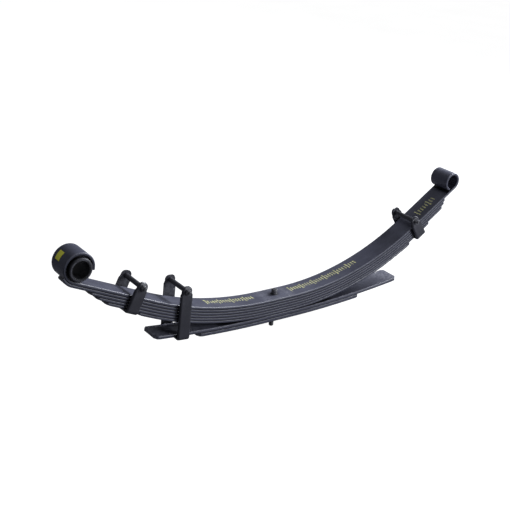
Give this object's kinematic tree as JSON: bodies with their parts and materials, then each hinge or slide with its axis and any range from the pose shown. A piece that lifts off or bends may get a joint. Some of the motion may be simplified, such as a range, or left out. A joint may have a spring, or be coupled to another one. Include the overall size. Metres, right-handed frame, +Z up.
{
  "type": "leaf spring",
  "caption": "Semi-elliptic vehicle leaf spring with upturned eyes, a stepped main pack, flatter overload leaves, a centre bolt and bolted rebound clips.",
  "frame": {"origin": "where the centre bolt meets the top face of the main leaf", "axes": "+X towards the rear eye, +Y across the leaves, +Z up, away from the axle"},
  "size_m": [1.1753, 0.0986, 0.3469],
  "materials": {
    "leaf_paint": "satin dark blue-grey paint",
    "clip_paint": "satin near-black paint",
    "fastener_paint": "satin black over zinc",
    "tube_steel": "satin black, worn",
    "bush_rubber": "matt",
    "sleeve_steel": "phosphated, dark",
    "label_film": "matt"
  },
  "bodies": {
    "leaf_pack": {"main_leaf": "leaf_paint", "wrapper_leaf": "leaf_paint", "leaf_3": "leaf_paint", "leaf_4": "leaf_paint", "leaf_5": "leaf_paint", "leaf_6": "leaf_paint", "overload_leaf_upper": "leaf_paint", "overload_leaf_lower": "leaf_paint", "centre_bolt": "fastener_paint", "centre_bolt_nut": "fastener_paint", "front_eye_bush": "bush_rubber", "eye_label": "label_film", "front_clip_strap": "clip_paint", "front_clip_bolt": "fastener_paint", "front_clip_nut": "fastener_paint", "front_clip_rivet": "fastener_paint", "middle_clip_strap": "clip_paint", "middle_clip_bolt": "fastener_paint", "middle_clip_nut": "fastener_paint", "middle_clip_rivet": "fastener_paint", "rear_clip_strap": "clip_paint", "rear_clip_bolt": "fastener_paint", "rear_clip_nut": "fastener_paint", "rear_clip_rivet": "fastener_paint"},
    "bush_sleeve": {"front_eye_sleeve": "sleeve_steel"},
    "front_clip_tube": {"front_clip_spacer_tube": "tube_steel"},
    "middle_clip_tube": {"middle_clip_spacer_tube": "tube_steel"},
    "rear_clip_tube": {"rear_clip_spacer_tube": "tube_steel"}
  },
  "joints": [
    {"name": "front_bush_twist", "type": "hinge", "parent": "leaf_pack", "child": "bush_sleeve", "pos_m": [-0.55464, 0, 0.18105], "axis": [0, 1, 0], "range_deg": [-25, 25]},
    {"name": "front_clip_tube_spin", "type": "hinge", "parent": "leaf_pack", "child": "front_clip_tube", "pos_m": [-0.40471, 0, 0.11198], "axis": [0, 1, 0], "continuous": true},
    {"name": "middle_clip_tube_spin", "type": "hinge", "parent": "leaf_pack", "child": "middle_clip_tube", "pos_m": [-0.28637, 0, 0.07878], "axis": [0, 1, 0], "continuous": true},
    {"name": "rear_clip_tube_spin", "type": "hinge", "parent": "leaf_pack", "child": "rear_clip_tube", "pos_m": [0.4257, 0, 0.14283], "axis": [0, 1, 0], "continuous": true}
  ]
}
